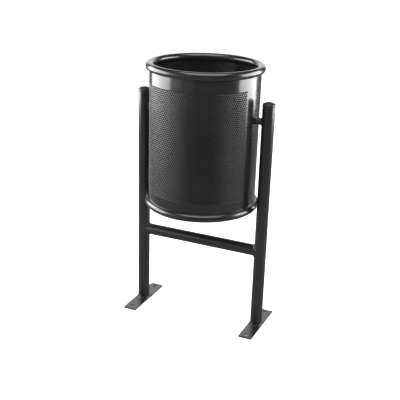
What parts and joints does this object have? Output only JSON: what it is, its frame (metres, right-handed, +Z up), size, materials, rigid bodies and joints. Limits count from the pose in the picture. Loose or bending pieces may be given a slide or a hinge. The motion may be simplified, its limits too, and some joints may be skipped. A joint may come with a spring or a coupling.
{
  "type": "litter bin",
  "caption": "Outdoor litter bin: a round perforated steel container with rolled rims, pivoted between two tubular posts on bolt-down base plates, tipping forward to empty.",
  "frame": {"origin": "on the ground, midway between the two posts, under the container's centre line", "axes": "+X along the pivot axis from the left post to the right post, -Y towards the front, +Z up"},
  "size_m": [0.475, 0.3734, 0.867],
  "materials": {
    "graphite_coating": "gloss powder coating",
    "graphite_sheet": "gloss powder coating on perforated sheet",
    "cap_plastic": "moulded, semi-gloss",
    "bush_plastic": "turned nylon",
    "blackened_steel": "blackened zinc plating",
    "spring_steel": "blued spring strip"
  },
  "bodies": {
    "stand": {"catch_spring": "spring_steel", "catch_spring_rivets": "blackened_steel", "crossbar": "graphite_coating", "left_base_plate": "graphite_coating", "left_boss_weld": "graphite_coating", "left_crossbar_weld": "graphite_coating", "left_foot_weld": "graphite_coating", "left_pivot_bolt": "blackened_steel", "left_pivot_boss": "graphite_coating", "left_pivot_washer": "blackened_steel", "left_post": "graphite_coating", "left_post_cap": "cap_plastic", "right_base_plate": "graphite_coating", "right_boss_weld": "graphite_coating", "right_crossbar_weld": "graphite_coating", "right_foot_weld": "graphite_coating", "right_pivot_bolt": "blackened_steel", "right_pivot_boss": "graphite_coating", "right_pivot_washer": "blackened_steel", "right_post": "graphite_coating", "right_post_cap": "cap_plastic", "stop_bracket": "graphite_coating"},
    "container": {"bin_floor": "graphite_coating", "bin_shell": "graphite_sheet", "bottom_rim": "graphite_coating", "catch_tab": "graphite_coating", "left_doubler": "graphite_coating", "left_pivot_bush": "bush_plastic", "left_pivot_housing": "graphite_coating", "right_doubler": "graphite_coating", "right_pivot_bush": "bush_plastic", "right_pivot_housing": "graphite_coating", "top_rim": "graphite_coating"}
  },
  "joints": [
    {"name": "bin_tilt", "type": "hinge", "parent": "stand", "child": "container", "pos_m": [0, 0, 0.703], "axis": [1, 0, 0], "range_deg": [0, 180]}
  ]
}
